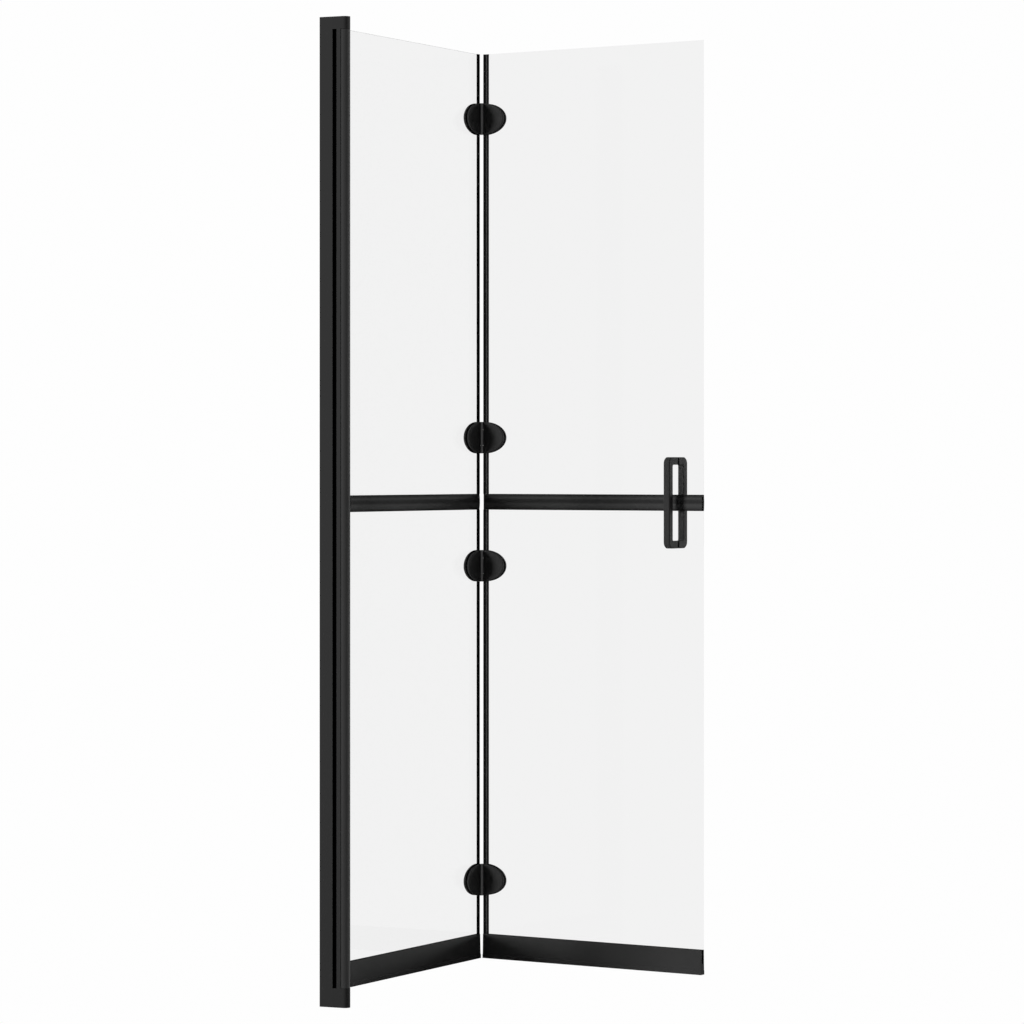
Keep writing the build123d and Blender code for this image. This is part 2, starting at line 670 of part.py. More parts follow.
def make_pull(side):
    """A D-shaped pull on one face of the glass, with blind holes for the studs in its legs."""
    foot = HALF_GLASS + PULL_WASHER
    half = PULL_HEIGHT / 2
    window = half - PULL_LEG
    inner_face = PULL_REACH - PULL_GRIP
    outline = Pos((foot + PULL_REACH) / 2, 0) * Rectangle(PULL_REACH - foot, PULL_HEIGHT)
    outline = fillet(outline.vertices().group_by(Axis.X)[-1], PULL_CORNER)
    opening = Pos((foot + inner_face) / 2, 0) * Rectangle(inner_face - foot, 2 * window)
    opening = fillet(opening.vertices().group_by(Axis.X)[-1], PULL_INNER_CORNER)
    pull = extrude(Plane.YZ * (outline - opening), PULL_WIDTH / 2, both=True)
    flanks = pull.faces().sort_by(Axis.X)
    bevelled = []
    for flank in (flanks[0], flanks[-1]):
        for above_foot in flank.edges().group_by(Axis.Y)[1:]:
            bevelled += above_foot
    pull = chamfer(bevelled, PULL_EDGE_BEVEL)
    for z in (-PULL_HOLE_SPACING / 2, PULL_HOLE_SPACING / 2):
        pull -= cross_rod(STUD_RADIUS + SEAT_CLEARANCE, foot, foot + STUD_BITE, 0, z)
    if side < 0:
        pull = mirror(pull, about=Plane.XZ)
    return Pos(PULL_POSITION, 0, BAR_CENTRE) * pull


def make_pull_studs():
    reach = HALF_GLASS + PULL_WASHER + STUD_BITE
    return [cross_rod(STUD_RADIUS, -reach, reach, PULL_POSITION, z) for z in pull_hole_heights()]


def make_pull_washers():
    washers = []
    for z in pull_hole_heights():
        for y0, y1 in ((-HALF_GLASS - PULL_WASHER, -HALF_GLASS), (HALF_GLASS, HALF_GLASS + PULL_WASHER)):
            washer = cross_rod(PULL_WASHER_RADIUS, y0, y1, PULL_POSITION, z)
            washers.append(washer - cross_rod(STUD_RADIUS + SEAT_CLEARANCE, y0, y1, PULL_POSITION, z))
    return washers


# Assembly

def wall_profile_pieces():
    return {
        "wall_channel": make_wall_channel(),
        "pivot_channel": make_pivot_channel(),
        "lock_screws": make_lock_screws(),
        "top_block": make_top_block(),
        "bottom_block": make_bottom_block(),
        "pivot_bushes": make_pivot_bushes(),
    }


def shared_panel_pieces(name, rail_ends, glass_ends, bar_ends):
    """The pieces that both panels have, between their own ends."""
    capped = (rail_ends[0] + RAIL_CAP, rail_ends[1] - RAIL_CAP)
    glazed = (max(rail_ends[0], glass_ends[0]), min(rail_ends[1], glass_ends[1]))
    return {
        f"{name}_rail": make_rail(*capped),
        f"{name}_rail_gasket": make_rail_gasket(*glazed),
        f"{name}_rail_caps": make_rail_caps(rail_ends, glass_ends),
        f"{name}_sweep": make_sweep(*capped),
        f"{name}_front_bar": make_front_bar(*bar_ends),
        f"{name}_rear_bar": make_rear_bar(*bar_ends),
        f"{name}_bar_pads": make_bar_pads(*bar_ends),
        f"{name}_bar_screws": make_bar_screws(*bar_ends),
    }


def hinge_notches():
    return [Pos(0, 0, centre) * glass_notch() for centre in hinge_centres()]


def inner_panel_pieces():
    rail_ends = (PANEL_START, fold_side(RAIL_FOLD_END))
    glass_ends = (GLASS_START, fold_side(GLASS_EDGE))
    bar_ends = (PANEL_START, fold_side(BAR_FOLD_END))
    pieces = shared_panel_pieces("inner", rail_ends, glass_ends, bar_ends)
    notches = [at_inner_fold(notch) for notch in hinge_notches()]
    pieces["inner_glass"] = make_glass(glass_ends, notches, bar_screw_places(*bar_ends))
    pieces["inner_edge_seal"] = at_inner_fold(make_edge_seal())
    pieces["pivot_post"] = make_pivot_post()
    pieces["post_gasket"] = make_post_gasket()
    pieces["top_pivot_cap"] = at_post_top(make_pivot_cap())
    pieces["bottom_pivot_cap"] = at_post_bottom(make_pivot_cap())
    pieces["pivot_cap_screws"] = make_port_screws()
    return pieces


def outer_panel_pieces():
    rail_ends = (RAIL_FOLD_END, OUTER_REACH - RAIL_FREE_END)
    glass_ends = (GLASS_EDGE, OUTER_REACH)
    bar_ends = (BAR_FOLD_END, OUTER_REACH - BAR_FREE_END)
    pieces = shared_panel_pieces("outer", rail_ends, glass_ends, bar_ends)
    holes = bar_screw_places(*bar_ends)
    pieces["outer_glass"] = make_glass(glass_ends, hinge_notches(), holes, PULL_POSITION)
    pieces["outer_edge_seal"] = make_edge_seal()
    pieces["front_pull"] = make_pull(-1)
    pieces["rear_pull"] = make_pull(1)
    pieces["pull_studs"] = make_pull_studs()
    pieces["pull_washers"] = make_pull_washers()
    return pieces


def hinge_pieces():
    """Every hinge's own nodes, and the groups of gaskets and screws, by the panel they are on."""
    inner = {"inner_hinge_gaskets": [], "inner_hinge_screws": []}
    outer = {"outer_hinge_gaskets": [], "outer_hinge_screws": []}
    for number, centre in enumerate(hinge_centres(), start=1):
        up = Pos(0, 0, centre)
        inner[f"inner_leaf_{number}"] = at_inner_fold(up * make_leaf(outer=False))
        inner[f"inner_clamp_{number}"] = at_inner_fold(up * make_clamp())
        inner[f"hinge_pin_{number}"] = at_inner_fold(up * make_hinge_pin())
        outer[f"outer_leaf_{number}"] = up * make_leaf(outer=True)
        outer[f"outer_clamp_{number}"] = up * make_clamp()
        for gasket in make_hinge_gaskets():
            inner["inner_hinge_gaskets"].append(at_inner_fold(up * gasket))
            outer["outer_hinge_gaskets"].append(up * gasket)
        for screw in make_hinge_screws():
            inner["inner_hinge_screws"].append(at_inner_fold(up * screw))
            outer["outer_hinge_screws"].append(up * screw)
    return inner, outer


def write_pieces(pieces, place):
    """One file per node, with its piece or its group of separate pieces."""
    for name, shape in pieces.items():
        group = shape if isinstance(shape, list) else [shape]
        solids = [solid for item in group for solid in (place * item).solids()]
        export_step(Compound(children=solids), f"parts/{name}.step")


def main():
    os.makedirs("parts", exist_ok=True)
    inner_hinges, outer_hinges = hinge_pieces()
    write_pieces(wall_profile_pieces(), Pos(0, 0, 0))
    write_pieces(inner_panel_pieces() | inner_hinges, inner_place())
    write_pieces(outer_panel_pieces() | outer_hinges, outer_place())


main()
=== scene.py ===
import bpy
import bmesh
import json
import math
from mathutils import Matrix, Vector


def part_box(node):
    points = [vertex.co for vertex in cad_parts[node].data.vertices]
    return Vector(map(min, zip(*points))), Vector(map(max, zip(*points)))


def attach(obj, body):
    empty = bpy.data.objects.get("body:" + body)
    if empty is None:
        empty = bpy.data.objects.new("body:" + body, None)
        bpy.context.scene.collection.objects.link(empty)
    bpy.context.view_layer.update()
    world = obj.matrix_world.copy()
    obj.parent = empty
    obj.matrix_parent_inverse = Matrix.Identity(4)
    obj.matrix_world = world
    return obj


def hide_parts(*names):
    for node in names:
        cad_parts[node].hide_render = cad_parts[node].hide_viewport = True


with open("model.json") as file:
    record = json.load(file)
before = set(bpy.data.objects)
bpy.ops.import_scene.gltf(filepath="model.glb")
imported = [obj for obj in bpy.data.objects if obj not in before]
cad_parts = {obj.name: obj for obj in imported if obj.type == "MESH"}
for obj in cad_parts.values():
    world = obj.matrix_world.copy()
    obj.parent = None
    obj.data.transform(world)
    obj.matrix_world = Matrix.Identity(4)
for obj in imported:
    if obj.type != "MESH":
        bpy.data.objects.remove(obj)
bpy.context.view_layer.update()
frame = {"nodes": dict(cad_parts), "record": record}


# The photographer's place: level, at waist height, a little to the right of the open fold, with a
# long lens. The view is shifted down a little, as a level shift lens is.
view_azimuth = math.radians(23.0)
view_ahead = Vector((-math.sin(view_azimuth), math.cos(view_azimuth), 0.0))
view_right = Vector((math.cos(view_azimuth), math.sin(view_azimuth), 0.0))
pivot_spot = Vector((0.0493, 0.0, 0.0))
camera_distance = 7.3630
camera_right = 0.3201
camera_height = 1.0369
camera_data = bpy.data.cameras.new("camera")
camera_data.sensor_width = 36.0
camera_data.lens = 135.0
camera_data.shift_y = -0.0443
camera_data.clip_end = 100.0
camera = bpy.data.objects.new("camera", camera_data)
bpy.context.scene.collection.objects.link(camera)
camera.location = pivot_spot - view_ahead * camera_distance + view_right * camera_right
camera.location.z = camera_height
camera.rotation_euler = (math.radians(90.0), 0.0, view_azimuth)
bpy.context.scene.camera = camera
bpy.context.scene.view_settings.view_transform = "Standard"


# The studio: white for the eye, the gloss and the glass, and a dim grey for the light on the
# object. Two low suns light it, one from the front left and one from behind on the right. Where
# they stand and how strong they are was found by trial, to bring the tones near the photo's.
studio_white = (0.99, 0.99, 0.99, 1.0)


def show_by_ray(tree, lit, seen, output):
    """Shows one shader to camera, glossy and transmission rays, and the other to the rest."""
    path = tree.nodes.new("ShaderNodeLightPath")
    mix = tree.nodes.new("ShaderNodeMixShader")
    share = path.outputs["Is Camera Ray"]
    for ray in ("Is Glossy Ray", "Is Transmission Ray"):
        either = tree.nodes.new("ShaderNodeMath")
        either.operation = "MAXIMUM"
        tree.links.new(share, either.inputs[0])
        tree.links.new(path.outputs[ray], either.inputs[1])
        share = either.outputs[0]
    tree.links.new(share, mix.inputs["Fac"])
    tree.links.new(lit.outputs[0], mix.inputs[1])
    tree.links.new(seen.outputs[0], mix.inputs[2])
    tree.links.new(mix.outputs[0], output.inputs["Surface"])


def sun(name, azimuth, elevation, strength, spread):
    """An even light from a compass direction, where 0 shines along +Y, unseen in gloss and glass."""
    data = bpy.data.lights.new(name, "SUN")
    data.energy = strength
    data.angle = math.radians(spread)
    lamp = bpy.data.objects.new(name, data)
    bpy.context.scene.collection.objects.link(lamp)
    lamp.rotation_euler = (math.radians(90.0 - elevation), 0.0, math.radians(azimuth))
    lamp.visible_glossy = False
    lamp.visible_transmission = False


world = bpy.data.worlds.new("studio")
bpy.context.scene.world = world
world.use_nodes = True
world.node_tree.nodes.clear()
surround = world.node_tree.nodes.new("ShaderNodeBackground")
surround.inputs["Color"].default_value = studio_white
surround.inputs["Strength"].default_value = 1.0
dim_light = world.node_tree.nodes.new("ShaderNodeBackground")
dim_light.inputs["Color"].default_value = (1.0, 1.0, 1.0, 1.0)
dim_light.inputs["Strength"].default_value = 0.17
world_output = world.node_tree.nodes.new("ShaderNodeOutputWorld")
show_by_ray(world.node_tree, dim_light, surround, world_output)
sun("key", azimuth=-40.0, elevation=4.5, strength=3.7, spread=17.0)
sun("side", azimuth=130.0, elevation=2.0, strength=5.2, spread=14.0)


# The floor: a wide disc that shows as white as the surround and throws a little light up.
floor_radius = 14.0
floor_mesh = bpy.data.meshes.new("floor")
shape = bmesh.new()
bmesh.ops.create_circle(shape, cap_ends=True, radius=floor_radius, segments=96)
shape.to_mesh(floor_mesh)
shape.free()
floor = bpy.data.objects.new("floor", floor_mesh)
bpy.context.scene.collection.objects.link(floor)
floor_paint = bpy.data.materials.new("floor_paint")
floor_paint.use_nodes = True
floor_paint.node_tree.nodes.clear()
matt = floor_paint.node_tree.nodes.new("ShaderNodeBsdfDiffuse")
matt.inputs["Color"].default_value = (0.3, 0.3, 0.3, 1.0)
glow = floor_paint.node_tree.nodes.new("ShaderNodeEmission")
glow.inputs["Color"].default_value = studio_white
glow.inputs["Strength"].default_value = 1.0
floor_output = floor_paint.node_tree.nodes.new("ShaderNodeOutputMaterial")
show_by_ray(floor_paint.node_tree, matt, glow, floor_output)
floor_mesh.materials.append(floor_paint)


# Wall channel: an aluminium extrusion screwed to the wall, with a matt black powder coat whose
# fine orange-peel grain breaks up the light.
def set_material(material, *names):
    """Gives CAD nodes a material in every slot."""
    for name in names:
        node = frame["nodes"][name]
        if not node.material_slots:
            node.data.materials.append(material)
        for entry in node.material_slots:
            entry.material = material


def grained(name, tone, roughness, gloss, grain_size, grain_height, stretch=(1.0, 1.0, 1.0)):
    """A grey finish with a fine relief, and a roughness that drifts between two values."""
    material = bpy.data.materials.new(name)
    material.use_nodes = True
    nodes = material.node_tree.nodes
    links = material.node_tree.links
    shader = nodes["Principled BSDF"]
    shader.inputs["Base Color"].default_value = (tone, tone, tone, 1.0)
    shader.inputs["Specular IOR Level"].default_value = gloss
    where = nodes.new("ShaderNodeTexCoord")
    mapping = nodes.new("ShaderNodeMapping")
    mapping.inputs["Scale"].default_value = stretch
    fine = nodes.new("ShaderNodeTexNoise")
    fine.inputs["Scale"].default_value = 1.0 / grain_size
    fine.inputs["Detail"].default_value = 3.0
    bump = nodes.new("ShaderNodeBump")
    bump.inputs["Distance"].default_value = grain_height
    bump.inputs["Strength"].default_value = 0.6
    broad = nodes.new("ShaderNodeTexNoise")
    broad.inputs["Scale"].default_value = 9.0
    drift = nodes.new("ShaderNodeMapRange")
    drift.inputs["To Min"].default_value = roughness[0]
    drift.inputs["To Max"].default_value = roughness[1]
    links.new(where.outputs["Object"], mapping.inputs["Vector"])
    links.new(mapping.outputs["Vector"], fine.inputs["Vector"])
    links.new(fine.outputs["Fac"], bump.inputs["Height"])
    links.new(bump.outputs["Normal"], shader.inputs["Normal"])
    links.new(where.outputs["Object"], broad.inputs["Vector"])
    links.new(broad.outputs["Fac"], drift.inputs["Value"])
    links.new(drift.outputs["Result"], shader.inputs["Roughness"])
    return material


powder_coat = grained("powder_coat", 0.033, (0.55, 0.65), 0.0, 0.0012, 0.00004)
set_material(powder_coat, "wall_channel")


# Pivot channel: the extrusion that slides in the wall channel, in the same powder coat. Its tongue
# and about 2 mm of its face are painted near-black as painted shade, which shows the slot wider than
# the solids' gap.
painted_shade_end = 0.0355
face_start = 0.0364


def across_piece(material, axis, start, end):
    """A value that runs from 0 to 1 along one object axis, between two places."""
    nodes = material.node_tree.nodes
    links = material.node_tree.links
    where = nodes.new("ShaderNodeTexCoord")
    split = nodes.new("ShaderNodeSeparateXYZ")
    share = nodes.new("ShaderNodeMapRange")
    share.inputs["From Min"].default_value = start
    share.inputs["From Max"].default_value = end
    links.new(where.outputs["Object"], split.inputs[0])
    links.new(split.outputs[axis], share.inputs["Value"])
    return share.outputs["Result"]


def blend_tone(material, share, first, second):
    """Sets the colour between two greys by a value that varies over the piece."""
    links = material.node_tree.links
    tone = material.node_tree.nodes.new("ShaderNodeMixRGB")
    tone.inputs["Color1"].default_value = (first, first, first, 1.0)
    tone.inputs["Color2"].default_value = (second, second, second, 1.0)
    shader = material.node_tree.nodes["Principled BSDF"]
    links.new(share, tone.inputs["Fac"])
    links.new(tone.outputs["Color"], shader.inputs["Base Color"])


channel_coat_and_slot_shade = grained("channel_coat_and_slot_shade", 0.031, (0.55, 0.65), 0.0, 0.0012, 0.00004)
# Painted shade: near-black over the tongue and the face's first 2 mm, the coat's grey beyond.
blend_tone(channel_coat_and_slot_shade, across_piece(channel_coat_and_slot_shade, "X", painted_shade_end, face_start), 0.001, 0.034)
set_material(channel_coat_and_slot_shade, "pivot_channel")


# Pivot post: a round aluminium extrusion that turns in the pivot channel and grips the inner pane.
# Its coat is a little glossier than the channels', which brings it near the photo's tone.
post_coat = grained("post_coat", 0.031, (0.4, 0.5), 0.16, 0.0012, 0.00003)
set_material(post_coat, "pivot_post")


# End blocks, pivot caps and rail caps: black nylon mouldings pushed into the ends of the
# extrusions, matt, with a finer grain than the coat.
black_nylon = grained("black_nylon", 0.032, (0.55, 0.68), 0.0, 0.0008, 0.00003)
set_material(black_nylon, "top_block", "bottom_block", "top_pivot_cap", "bottom_pivot_cap")
set_material(black_nylon, "inner_rail_caps", "outer_rail_caps")


# Pivot bushes: flanged sleeves of off-white acetal, pressed into the end blocks, in which the
# caps' stub shafts turn.
bush_plastic = grained("bush_plastic", 0.71, (0.3, 0.4), 0.5, 0.002, 0.00002)
set_material(bush_plastic, "pivot_bushes")


# Panes: clear toughened glass with ground and eased edges. Its tint and its bending, which is
# weaker than real glass's, are set to match the photo. Shadow rays pass with little loss.
def pane_glass(tint, shade_tint, bending):
    """Clear glass that is nearly transparent to shadow rays."""
    material = bpy.data.materials.new("clear_glass")
    material.use_nodes = True
    nodes = material.node_tree.nodes
    links = material.node_tree.links
    shader = nodes["Principled BSDF"]
    shader.inputs["Base Color"].default_value = tint
    shader.inputs["Roughness"].default_value = 0.0
    shader.inputs["IOR"].default_value = bending
    shader.inputs["Transmission Weight"].default_value = 1.0
    clear = nodes.new("ShaderNodeBsdfTransparent")
    clear.inputs["Color"].default_value = shade_tint
    path = nodes.new("ShaderNodeLightPath")
    mix = nodes.new("ShaderNodeMixShader")
    links.new(path.outputs["Is Shadow Ray"], mix.inputs["Fac"])
    links.new(shader.outputs[0], mix.inputs[1])
    links.new(clear.outputs[0], mix.inputs[2])
    links.new(mix.outputs[0], nodes["Material Output"].inputs["Surface"])
    return material


clear_glass = pane_glass((0.896, 0.896, 0.896, 1.0), (0.9, 0.905, 0.9, 1.0), bending=1.12)
set_material(clear_glass, "inner_glass", "outer_glass")


# Bottom rails: aluminium extrusions clipped on the panes' lower edges, in the powder coat, painted
# a touch lighter as painted light, to come near a measured tone. Bottom rails: aluminium
# extrusions clipped on the panes' lower edges, in the powder coat, taken a touch lighter to come
# near the photo's tone.
rail_coat_painted_light = grained("rail_coat_painted_light", 0.037, (0.55, 0.65), 0.0, 0.0012, 0.00004)
set_material(rail_coat_painted_light, "inner_rail", "outer_rail")


# Pulls: cast loops screwed back to back through the outer pane, in the powder coat, smoother, and
# painted slightly darker as painted shade, to come near a measured tone. Pulls: cast loops screwed
# back to back through the outer pane, in the powder coat, taken slightly darker and smoother to
# come near the photo's tone.
pull_coat_painted_shade = grained("pull_coat_painted_shade", 0.030, (0.45, 0.58), 0.02, 0.0010, 0.00003)
set_material(pull_coat_painted_shade, "front_pull", "rear_pull")


# Middle bars: powder-coated strips screwed together through the panes. Their colour is painted
# shading of a shallow rounded relief that the plain solid lacks: two light streaks as painted
# highlights between darker bands, with painted shade at the top and bottom edges.
bar_low, bar_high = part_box("outer_front_bar")
# Painted shading of the relief, by height share up the bar: dark edges, light streaks between.
bar_relief_shading = ((0.0, 0.013), (0.1, 0.025), (0.2, 0.040), (0.36, 0.047),
               (0.52, 0.024), (0.62, 0.025), (0.76, 0.044), (0.9, 0.025), (1.0, 0.013))
bar_coat_and_relief_shading = grained("bar_coat_and_relief_shading", 0.031, (0.55, 0.65), 0.0, 0.0012, 0.00004)
relief_shading_ramp = bar_coat_and_relief_shading.node_tree.nodes.new("ShaderNodeValToRGB")
relief_shading_ramp.color_ramp.interpolation = "EASE"
while len(relief_shading_ramp.color_ramp.elements) < len(bar_relief_shading):
    relief_shading_ramp.color_ramp.elements.new(0.5)
for stop, (height_share, tone) in zip(relief_shading_ramp.color_ramp.elements, bar_relief_shading):
    stop.position = height_share
    stop.color = (tone, tone, tone, 1.0)
bar_shader = bar_coat_and_relief_shading.node_tree.nodes["Principled BSDF"]
up_the_bar = across_piece(bar_coat_and_relief_shading, "Z", bar_low[2], bar_high[2])
bar_coat_and_relief_shading.node_tree.links.new(up_the_bar, relief_shading_ramp.inputs["Fac"])
bar_coat_and_relief_shading.node_tree.links.new(relief_shading_ramp.outputs["Color"], bar_shader.inputs["Base Color"])
set_material(bar_coat_and_relief_shading, "inner_front_bar", "inner_rear_bar", "outer_front_bar", "outer_rear_bar")


# Hinge leaves and clamps: cast half-oval plates in the same coat. The barrel about the fold pin
# is metallic and painted lighter, a painted highlight that gives it a grey band.
pin_x, pin_y, pin_z = frame["record"]["behaviour"]["joints"][1]["pos_m"]
barrel_inside = 0.0042
barrel_outside = 0.0046


def near_pin(material):
    """A value that is 1 on the barrel about the fold pin and 0 beyond it, the painted highlight's
    mask.
    """
    nodes = material.node_tree.nodes
    links = material.node_tree.links
    where = nodes.new("ShaderNodeTexCoord")
    in_plan = nodes.new("ShaderNodeVectorMath")
    in_plan.operation = "MULTIPLY"
    in_plan.inputs[1].default_value = (1.0, 1.0, 0.0)
    reach = nodes.new("ShaderNodeVectorMath")
    reach.operation = "DISTANCE"
    reach.inputs[1].default_value = (pin_x, pin_y, 0.0)
    turned = nodes.new("ShaderNodeMapRange")
    turned.inputs["From Min"].default_value = barrel_outside
    turned.inputs["From Max"].default_value = barrel_inside
    links.new(where.outputs["Object"], in_plan.inputs[0])
    links.new(in_plan.outputs["Vector"], reach.inputs[0])
    links.new(reach.outputs["Value"], turned.inputs["Value"])
    return turned.outputs["Result"]


hinge_coat_and_highlight = grained("hinge_coat_and_highlight", 0.031, (0.5, 0.6), 0.0, 0.0009, 0.00003)
hinge_shader = hinge_coat_and_highlight.node_tree.nodes["Principled BSDF"]
barrel_highlight_mask = near_pin(hinge_coat_and_highlight)
# Painted highlight: the barrel is lighter than the plates.
blend_tone(hinge_coat_and_highlight, barrel_highlight_mask, 0.031, 0.066)
hinge_coat_and_highlight.node_tree.links.new(barrel_highlight_mask, hinge_shader.inputs["Metallic"])
for number in range(1, 5):
    for part in ("inner_leaf", "inner_clamp", "outer_leaf", "outer_clamp"):
        set_material(hinge_coat_and_highlight, f"{part}_{number}")


# Glazing strips, pads, gaskets, washers and wiper strips: black rubber, with little of it in view.
# All but the wipers in the rails' feet are pressed between the glass and what holds it.
seal_rubber = grained("seal_rubber", 0.012, (0.62, 0.78), 0.0, 0.0015, 0.00003)
set_material(seal_rubber, "post_gasket", "inner_rail_gasket", "outer_rail_gasket")
set_material(seal_rubber, "inner_bar_pads", "outer_bar_pads", "inner_sweep", "outer_sweep")
set_material(seal_rubber, "inner_hinge_gaskets", "outer_hinge_gaskets", "pull_washers")


# Edge seals: an extruded channel of black rubber over each fold edge, with a square bead in front
# and a tapered lip, cut to the hinges' oval outline and at the bars, where only its web runs on.
# The outer one has a shiny line beside its bead, painted lighter as a painted highlight. Each
# stretch is swept from one closed section.
panel_sides = {"inner": (math.radians(83.7), -1.0), "outer": (math.radians(-8.7), 1.0)}
pin_to_glass = 0.0078
hinge_reach = 0.051
seal_oval_height = 0.03215
web_past_hinge = 0.0335
web_past_bar = 0.001
bar_gap = 0.0001
glass_side = 0.0025
seal_web = ((0.00155, -0.0031), (0.00275, -0.0031), (0.00275, 0.0031), (0.00155, 0.0031))
seal_back = [(0.0040, 0.0031), (0.0037, 0.0035), (0.0018, 0.0035), (0.0015, 0.0032)]
seal_bead = [(0.0015, -0.0041), (0.0016, -0.0043), (0.0018, -0.0044)]
seal_bead += [(0.0072, -0.0044), (0.0074, -0.0043), (0.0075, -0.0041)]
seal_line = [(0.0076, -0.0036), (0.0098, -0.0036)]
seal_inside = [(0.0028, -glass_side), (0.0028, glass_side), (0.0040, glass_side)]


def fold_point(panel, x, y, z):
    """A point in the world, from its distance out from the fold pin and its depth at the glass."""
    angle, way = panel_sides[panel]
    along = way * x
    across = y + pin_to_glass
    return (pin_x + along * math.cos(angle) - across * math.sin(angle),
            pin_y + along * math.sin(angle) + across * math.cos(angle), z)


def middle_height(name):
    low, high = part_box(name)
    return (low[2] + high[2]) / 2


def seal_stops(panel):
    """Where a seal ends or breaks: the height, the gap on each side of it, and the web's reach."""
    low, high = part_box(f"{panel}_edge_seal")
    bar_low, bar_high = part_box(f"{panel}_front_bar")
    past_bar = (bar_high[2] - bar_low[2]) / 2 + bar_gap

    def no_gap(x):
        return 0.0

    def oval_gap(x):
        return seal_oval_height * math.sqrt(max(0.0, 1.0 - (x / hinge_reach) ** 2))

    def straight_gap(x):
        return past_bar

    stops = [(low[2], no_gap, 0.0), (high[2], no_gap, 0.0)]
    stops += [(middle_height(f"{panel}_leaf_{n}"), oval_gap, web_past_hinge) for n in range(1, 5)]
    stops.append((middle_height(f"{panel}_front_bar"), straight_gap, past_bar + web_past_bar))
    return sorted(stops, key=lambda stop: stop[0])


def loft(shape, rings):
    """Closes a run of rings into one solid and returns its side faces, listed by ring point."""
    loops = [[shape.verts.new(point) for point in ring] for ring in rings]
    count = len(loops[0])
    sides = [[] for k in range(count)]
    for ring, following in zip(loops, loops[1:]):
        for k in range(count):
            j = (k + 1) % count
            sides[k].append(shape.faces.new((ring[k], ring[j], following[j], following[k])))
    shape.faces.new(loops[0])
    shape.faces.new(loops[-1])
    return sides


def stand_for(node, suffix, mesh, body):
    """Puts a mesh in the scene in place of a CAD node."""
    piece = bpy.data.objects.new(node + suffix, mesh)
    bpy.context.scene.collection.objects.link(piece)
    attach(piece, body)
    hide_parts(node)


def make_edge_seal(panel, lip, rubber, line_rubber):
    """One pane's seal, in the stretches between its ends, the hinges and the bar."""
    seal_lip = [(lip - 0.0008, -0.0033), (lip, -0.0029), (lip, -glass_side)]
    section = seal_back + seal_bead + seal_line + seal_lip + seal_inside
    line_place = section.index(seal_line[0])
    stops = seal_stops(panel)
    shape = bmesh.new()
    for (start, start_gap, _), (end, end_gap, _) in zip(stops, stops[1:]):
        rings = []
        for share in (0.0, 0.5, 1.0):
            ring = []
            for x, y in section:
                bottom = start + start_gap(x)
                top = end - end_gap(x)
                ring.append(fold_point(panel, x, y, bottom + (top - bottom) * share))
            rings.append(ring)
        for face in loft(shape, rings)[line_place]:
            face.material_index = 1
    for middle, gap, reach in stops:
        if reach:
            loft(shape, [[fold_point(panel, x, y, z) for x, y in seal_web]
                         for z in (middle - reach, middle + reach)])
    bmesh.ops.recalc_face_normals(shape, faces=shape.faces)
    bmesh.ops.triangulate(shape, faces=shape.faces)
    node = f"{panel}_edge_seal"
    mesh = bpy.data.meshes.new(node + "_rubber")
    shape.to_mesh(mesh)
    shape.free()
    mesh.materials.append(rubber)
    mesh.materials.append(line_rubber)
    stand_for(node, "_rubber", mesh, f"{panel}_panel")


drawn_out = (1.0, 1.0, 0.1)
# The inner seal's rubber is painted darker than the outer's, as painted shade in the fold.
inner_rubber_painted_shade = grained("inner_rubber_painted_shade", 0.004, (0.62, 0.78), 0.0, 0.0015, 0.00002, drawn_out)
soft_rubber = grained("soft_rubber", 0.011, (0.55, 0.7), 0.0, 0.0015, 0.00002, drawn_out)
# The outer seal's line is painted lighter than the seal, as a painted highlight, and glossier.
highlight_line_rubber = grained("highlight_line_rubber", 0.03, (0.3, 0.45), 0.45, 0.0015, 0.00002, drawn_out)
make_edge_seal("inner", 0.0116, inner_rubber_painted_shade, inner_rubber_painted_shade)
make_edge_seal("outer", 0.0140, soft_rubber, highlight_line_rubber)


# Locking screws, bar screws, cap screws, pull studs and hinge pins: turned steel. The photo shows
# none of them, so a dark dull finish is assumed.
turned_steel = grained("turned_steel", 0.1, (0.28, 0.42), 0.5, 0.0006, 0.00001)
turned_steel.node_tree.nodes["Principled BSDF"].inputs["Metallic"].default_value = 1.0
set_material(turned_steel, "lock_screws", "pivot_cap_screws", "pull_studs")
set_material(turned_steel, "inner_bar_screws", "outer_bar_screws")
for number in range(1, 5):
    set_material(turned_steel, f"hinge_pin_{number}")


# Clamp screws: countersunk stainless screws with a hex socket, two in each clamp, seen from the
# outside of the fold. One Geometry Nodes tree builds a screw and sets it at each screw's place.
screw_sizes = {"Head Radius": 0.0046, "Head Height": 0.0021, "Shank Radius": 0.0025,
               "Shank Length": 0.0114, "Socket Radius": 0.00173, "Socket Depth": 0.0016}
screw_reach = 0.022
screw_rise = 0.015
clamp_face = 0.0075
shank_drop = -0.495


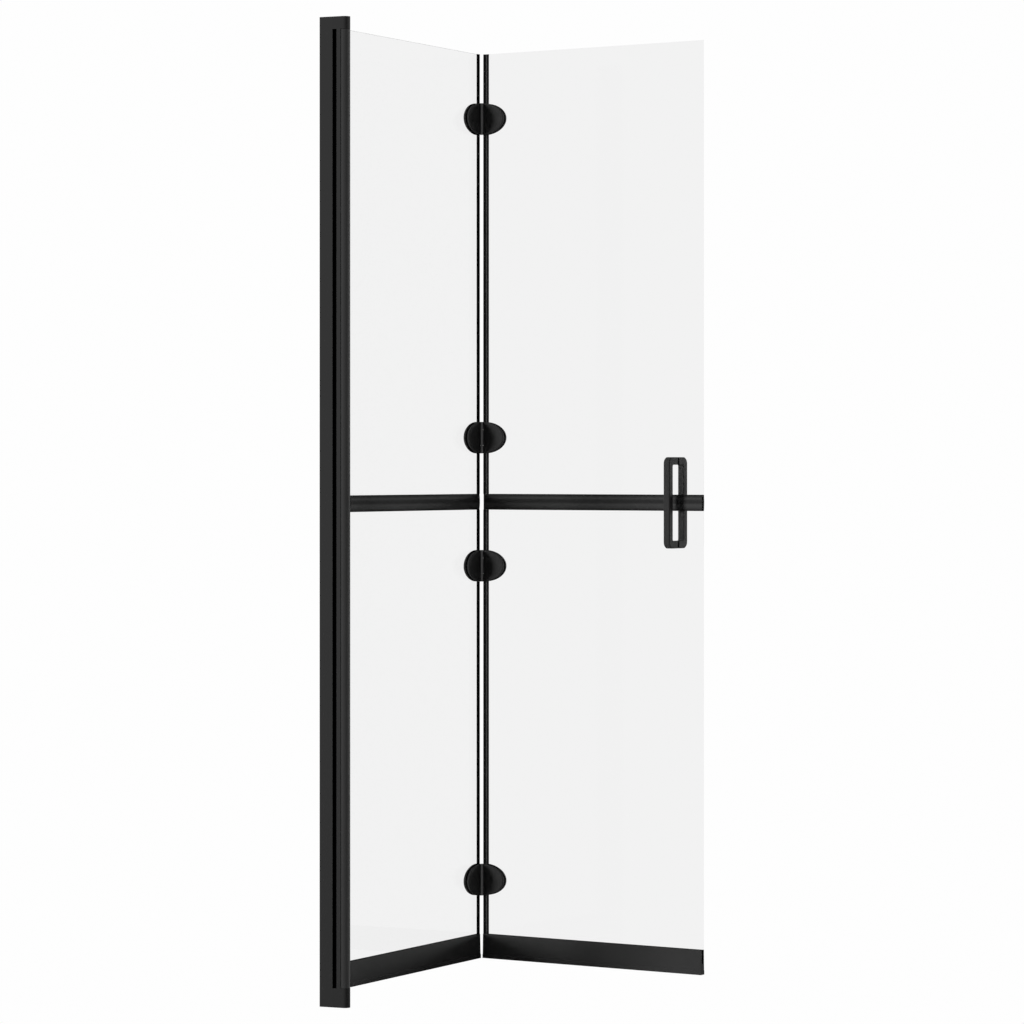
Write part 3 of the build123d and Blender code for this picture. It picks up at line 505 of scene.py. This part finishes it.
def socket_screw_tree():
    """A countersunk head less a hexagon, joined to its shank, at each of the given points."""
    tree = bpy.data.node_groups.new("socket_screws", "GeometryNodeTree")
    tree.interface.new_socket("Geometry", in_out="INPUT", socket_type="NodeSocketGeometry")
    for name in screw_sizes:
        tree.interface.new_socket(name, in_out="INPUT", socket_type="NodeSocketFloat")
    tree.interface.new_socket("Turn", in_out="INPUT", socket_type="NodeSocketVector")
    tree.interface.new_socket("Material", in_out="INPUT", socket_type="NodeSocketMaterial")
    tree.interface.new_socket("Geometry", in_out="OUTPUT", socket_type="NodeSocketGeometry")
    given = tree.nodes.new("NodeGroupInput")
    result = tree.nodes.new("NodeGroupOutput")
    head = tree.nodes.new("GeometryNodeMeshCone")
    head.inputs["Vertices"].default_value = 36
    shank = tree.nodes.new("GeometryNodeMeshCylinder")
    shank.inputs["Vertices"].default_value = 24
    hexagon = tree.nodes.new("GeometryNodeMeshCylinder")
    hexagon.inputs["Vertices"].default_value = 6
    double = tree.nodes.new("ShaderNodeMath")
    double.operation = "MULTIPLY"
    double.inputs[1].default_value = 2.0
    drop = tree.nodes.new("ShaderNodeMath")
    drop.operation = "MULTIPLY"
    drop.inputs[1].default_value = shank_drop
    to_face = tree.nodes.new("ShaderNodeCombineXYZ")
    to_shank = tree.nodes.new("ShaderNodeCombineXYZ")
    lift = tree.nodes.new("GeometryNodeTransform")
    lower = tree.nodes.new("GeometryNodeTransform")
    cut = tree.nodes.new("GeometryNodeMeshBoolean")
    cut.operation = "DIFFERENCE"
    join = tree.nodes.new("GeometryNodeJoinGeometry")
    place = tree.nodes.new("GeometryNodeInstanceOnPoints")
    real = tree.nodes.new("GeometryNodeRealizeInstances")
    paint = tree.nodes.new("GeometryNodeSetMaterial")
    wires = (
        (given, "Head Radius", head, "Radius Top"),
        (given, "Shank Radius", head, "Radius Bottom"),
        (given, "Head Height", head, "Depth"),
        (given, "Shank Radius", shank, "Radius"),
        (given, "Shank Length", shank, "Depth"),
        (given, "Shank Length", drop, 0),
        (drop, 0, to_shank, "Z"),
        (shank, "Mesh", lower, "Geometry"),
        (to_shank, "Vector", lower, "Translation"),
        (given, "Socket Radius", hexagon, "Radius"),
        (given, "Socket Depth", double, 0),
        (double, 0, hexagon, "Depth"),
        (given, "Head Height", to_face, "Z"),
        (hexagon, "Mesh", lift, "Geometry"),
        (to_face, "Vector", lift, "Translation"),
        (head, "Mesh", cut, "Mesh 1"),
        (lift, "Geometry", cut, "Mesh 2"),
        (cut, "Mesh", join, "Geometry"),
        (lower, "Geometry", join, "Geometry"),
        (given, "Geometry", place, "Points"),
        (join, "Geometry", place, "Instance"),
        (given, "Turn", place, "Rotation"),
        (place, "Instances", real, "Geometry"),
        (real, "Geometry", paint, "Geometry"),
        (given, "Material", paint, "Material"),
        (paint, "Geometry", result, "Geometry"),
    )
    for source, output, target, socket in wires:
        tree.links.new(source.outputs[output], target.inputs[socket])
    return tree


def make_clamp_screws(panel, tree, steel):
    """The screws of one panel's clamps, turned to face out of the fold, as one plain mesh."""
    angle, way = panel_sides[panel]
    depth = clamp_face - screw_sizes["Head Height"]
    places = []
    for number in range(1, 5):
        middle = middle_height(f"{panel}_leaf_{number}")
        for rise in (-screw_rise, screw_rise):
            places.append(fold_point(panel, screw_reach, depth, middle + rise))
    points = bpy.data.meshes.new("screw_places")
    points.from_pydata(places, [], [])
    holder = bpy.data.objects.new("screw_places", points)
    bpy.context.scene.collection.objects.link(holder)
    modifier = holder.modifiers.new("screws", "NODES")
    modifier.node_group = tree
    values = dict(screw_sizes, Turn=(math.radians(-90.0), 0.0, angle), Material=steel)
    for entry in tree.interface.items_tree:
        if entry.in_out == "INPUT" and entry.name in values:
            modifier[entry.identifier] = values[entry.name]
    bpy.context.view_layer.update()
    graph = bpy.context.evaluated_depsgraph_get()
    mesh = bpy.data.meshes.new_from_object(holder.evaluated_get(graph))
    bpy.data.objects.remove(holder)
    node = f"{panel}_hinge_screws"
    mesh.name = node + "_socket"
    stand_for(node, "_socket", mesh, f"{panel}_panel")


bright_steel = grained("bright_steel", 0.32, (0.25, 0.4), 0.5, 0.0005, 0.00001)
bright_steel.node_tree.nodes["Principled BSDF"].inputs["Metallic"].default_value = 1.0
screw_tree = socket_screw_tree()
make_clamp_screws("inner", screw_tree, bright_steel)
make_clamp_screws("outer", screw_tree, bright_steel)
